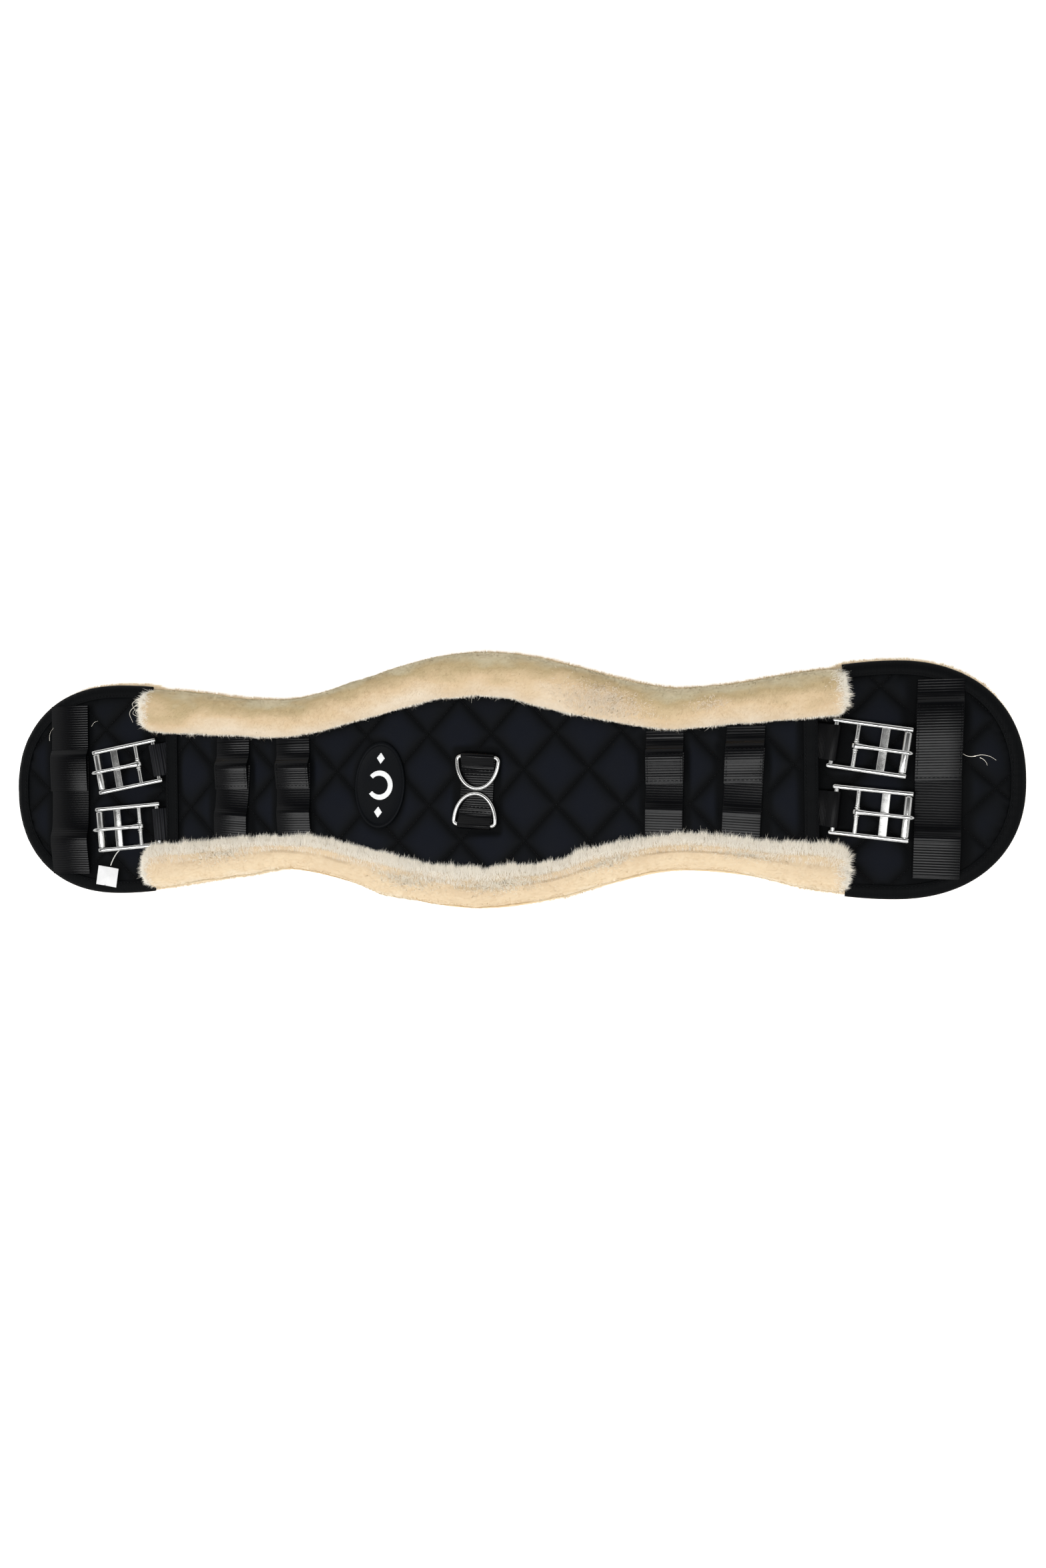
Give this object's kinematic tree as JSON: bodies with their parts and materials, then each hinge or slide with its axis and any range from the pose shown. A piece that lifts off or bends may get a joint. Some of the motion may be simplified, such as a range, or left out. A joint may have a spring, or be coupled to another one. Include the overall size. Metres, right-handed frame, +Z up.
{
  "type": "saddle girth",
  "caption": "Contoured saddle girth with roller buckles at both ends and central dee rings, held in a quilted fleece-lined cover by hook-and-loop straps.",
  "frame": {"origin": "middle of the fleece underside, on the plane that it rests on", "axes": "+X along the girth towards the end with the plain webbing buckle straps, +Y across it, +Z up through the outer side"},
  "size_m": [0.8604, 0.2164, 0.033],
  "materials": {
    "fleece": "cream pile, matte",
    "foam": "open-cell foam, matte",
    "quilt": "black quilted cotton, matte",
    "binding": "black woven tape, matte",
    "webbing": "black woven webbing, slight sheen",
    "elastic": "black ribbed elastic, slight sheen",
    "hook_tape": "black hook tape, matte",
    "loop_tape": "black brushed loop tape, matte",
    "steel": "polished stainless steel",
    "patch": "black moulded rubber, satin",
    "motif": "white moulded motif",
    "thread": "white twisted cotton",
    "tag": "blank white card"
  },
  "bodies": {
    "liner_and_girth": {"fleece_lining": "fleece", "liner_foam": "foam", "liner_quilted_cover": "quilt", "fleece_roll_upper": "fleece", "fleece_roll_lower": "fleece", "edge_binding_right": "binding", "edge_binding_left": "binding", "girth_backing": "binding", "girth_web_upper": "webbing", "girth_web_lower": "webbing", "girth_foam": "foam", "girth_quilted_panel": "quilt", "end_hem_left": "binding", "end_hem_right": "binding", "buckle_strap_right_upper": "webbing", "buckle_strap_right_lower": "webbing", "dee_tab": "webbing", "patch": "patch", "patch_motif": "motif", "strap_lower_left_end": "loop_tape", "strap_lower_left_outer": "loop_tape", "strap_lower_left_inner": "loop_tape", "strap_lower_right_inner": "loop_tape", "strap_lower_right_outer": "loop_tape", "strap_lower_right_end": "loop_tape", "tag_thread": "thread", "swing_tag": "tag"},
    "elastic_left_upper": {"buckle_strap_left_upper": "elastic"},
    "buckle_left_upper": {"buckle_frame_left_upper": "steel"},
    "tongue_left_upper": {"buckle_tongue_left_upper": "steel"},
    "roller_left_upper": {"buckle_roller_left_upper": "steel"},
    "elastic_left_lower": {"buckle_strap_left_lower": "elastic"},
    "buckle_left_lower": {"buckle_frame_left_lower": "steel"},
    "tongue_left_lower": {"buckle_tongue_left_lower": "steel"},
    "roller_left_lower": {"buckle_roller_left_lower": "steel"},
    "buckle_right_upper": {"buckle_frame_right_upper": "steel"},
    "tongue_right_upper": {"buckle_tongue_right_upper": "steel"},
    "roller_right_upper": {"buckle_roller_right_upper": "steel"},
    "buckle_right_lower": {"buckle_frame_right_lower": "steel"},
    "tongue_right_lower": {"buckle_tongue_right_lower": "steel"},
    "roller_right_lower": {"buckle_roller_right_lower": "steel"},
    "dee_upper": {"dee_ring_upper": "steel"},
    "dee_lower": {"dee_ring_lower": "steel"},
    "peel_left_end": {"strap_upper_left_end": "loop_tape", "hook_tape_left_end": "hook_tape"},
    "peel_left_outer": {"strap_upper_left_outer": "loop_tape", "hook_tape_left_outer": "hook_tape"},
    "peel_left_inner": {"strap_upper_left_inner": "loop_tape", "hook_tape_left_inner": "hook_tape"},
    "peel_right_inner": {"strap_upper_right_inner": "loop_tape", "hook_tape_right_inner": "hook_tape"},
    "peel_right_outer": {"strap_upper_right_outer": "loop_tape", "hook_tape_right_outer": "hook_tape"},
    "peel_right_end": {"strap_upper_right_end": "loop_tape", "hook_tape_right_end": "hook_tape"}
  },
  "joints": [
    {"name": "elastic_stretch_left_upper", "type": "slide", "parent": "liner_and_girth", "child": "elastic_left_upper", "axis": [-0.9836, -0.1805, 0], "range_m": [0, 0.015], "stiffness_N_per_m": 1500},
    {"name": "buckle_fold_left_upper", "type": "hinge", "parent": "elastic_left_upper", "child": "buckle_left_upper", "pos_m": [-0.288, 0.0247, 0.0226], "axis": [-0.1805, 0.9836, 0], "range_deg": [0, 60]},
    {"name": "tongue_swing_left_upper", "type": "hinge", "parent": "buckle_left_upper", "child": "tongue_left_upper", "pos_m": [-0.30448, 0.02167, 0.02377], "axis": [-0.1805, 0.9836, 0], "range_deg": [0, 120]},
    {"name": "roller_spin_left_upper", "type": "hinge", "parent": "buckle_left_upper", "child": "roller_left_upper", "pos_m": [-0.34079, 0.01501, 0.02635], "axis": [0.1805, -0.9836, 0], "continuous": true},
    {"name": "elastic_stretch_left_lower", "type": "slide", "parent": "liner_and_girth", "child": "elastic_left_lower", "axis": [-0.9969, -0.0785, 0], "range_m": [0, 0.015], "stiffness_N_per_m": 1500},
    {"name": "buckle_fold_left_lower", "type": "hinge", "parent": "elastic_left_lower", "child": "buckle_left_lower", "pos_m": [-0.2866, -0.0312, 0.0226], "axis": [-0.0785, 0.9969, 0], "range_deg": [0, 60]},
    {"name": "tongue_swing_left_lower", "type": "hinge", "parent": "buckle_left_lower", "child": "tongue_left_lower", "pos_m": [-0.30331, -0.03252, 0.02377], "axis": [-0.0785, 0.9969, 0], "range_deg": [0, 120]},
    {"name": "roller_spin_left_lower", "type": "hinge", "parent": "buckle_left_lower", "child": "roller_left_lower", "pos_m": [-0.3401, -0.03541, 0.02635], "axis": [0.0785, -0.9969, 0], "continuous": true},
    {"name": "buckle_fold_right_upper", "type": "hinge", "parent": "liner_and_girth", "child": "buckle_right_upper", "pos_m": [0.2888, 0.0292, 0.0226], "axis": [-0.1633, -0.9866, 0], "range_deg": [0, 60]},
    {"name": "tongue_swing_right_upper", "type": "hinge", "parent": "buckle_right_upper", "child": "tongue_right_upper", "pos_m": [0.30533, 0.02646, 0.02377], "axis": [-0.1633, -0.9866, 0], "range_deg": [0, 120]},
    {"name": "roller_spin_right_upper", "type": "hinge", "parent": "buckle_right_upper", "child": "roller_right_upper", "pos_m": [0.34175, 0.02043, 0.02635], "axis": [0.1633, 0.9866, 0], "continuous": true},
    {"name": "buckle_fold_right_lower", "type": "hinge", "parent": "liner_and_girth", "child": "buckle_right_lower", "pos_m": [0.2888, -0.0223, 0.0226], "axis": [-0.1149, -0.9934, 0], "range_deg": [0, 60]},
    {"name": "tongue_swing_right_lower", "type": "hinge", "parent": "buckle_right_lower", "child": "tongue_right_lower", "pos_m": [0.30545, -0.02423, 0.02377], "axis": [-0.1149, -0.9934, 0], "range_deg": [0, 120]},
    {"name": "roller_spin_right_lower", "type": "hinge", "parent": "buckle_right_lower", "child": "roller_right_lower", "pos_m": [0.34211, -0.02847, 0.02635], "axis": [0.1149, 0.9934, 0], "continuous": true},
    {"name": "dee_swing_upper", "type": "hinge", "parent": "liner_and_girth", "child": "dee_upper", "pos_m": [0.00545, 0.02283, 0.02865], "axis": [-0.9976, 0.0698, 0], "range_deg": [0, 175]},
    {"name": "dee_swing_lower", "type": "hinge", "parent": "liner_and_girth", "child": "dee_lower", "pos_m": [0.00155, -0.03283, 0.02865], "axis": [0.9976, -0.0698, 0], "range_deg": [0, 175]},
    {"name": "strap_peel_left_end", "type": "hinge", "parent": "liner_and_girth", "child": "peel_left_end", "pos_m": [-0.3745, 0.0745, 0.0187], "axis": [-1, 0, 0], "range_deg": [0, 150]},
    {"name": "strap_peel_left_outer", "type": "hinge", "parent": "liner_and_girth", "child": "peel_left_outer", "pos_m": [-0.214, 0.0389, 0.0258], "axis": [-1, 0, 0], "range_deg": [0, 80]},
    {"name": "strap_peel_left_inner", "type": "hinge", "parent": "liner_and_girth", "child": "peel_left_inner", "pos_m": [-0.158, 0.0364, 0.0258], "axis": [-1, 0, 0], "range_deg": [0, 80]},
    {"name": "strap_peel_right_inner", "type": "hinge", "parent": "liner_and_girth", "child": "peel_right_inner", "pos_m": [0.158, 0.0364, 0.0258], "axis": [-1, 0, 0], "range_deg": [0, 80]},
    {"name": "strap_peel_right_outer", "type": "hinge", "parent": "liner_and_girth", "child": "peel_right_outer", "pos_m": [0.22, 0.0392, 0.0258], "axis": [-1, 0, 0], "range_deg": [0, 80]},
    {"name": "strap_peel_right_end", "type": "hinge", "parent": "liner_and_girth", "child": "peel_right_end", "pos_m": [0.366, 0.076, 0.0187], "axis": [-1, 0, 0], "range_deg": [0, 150]}
  ]
}
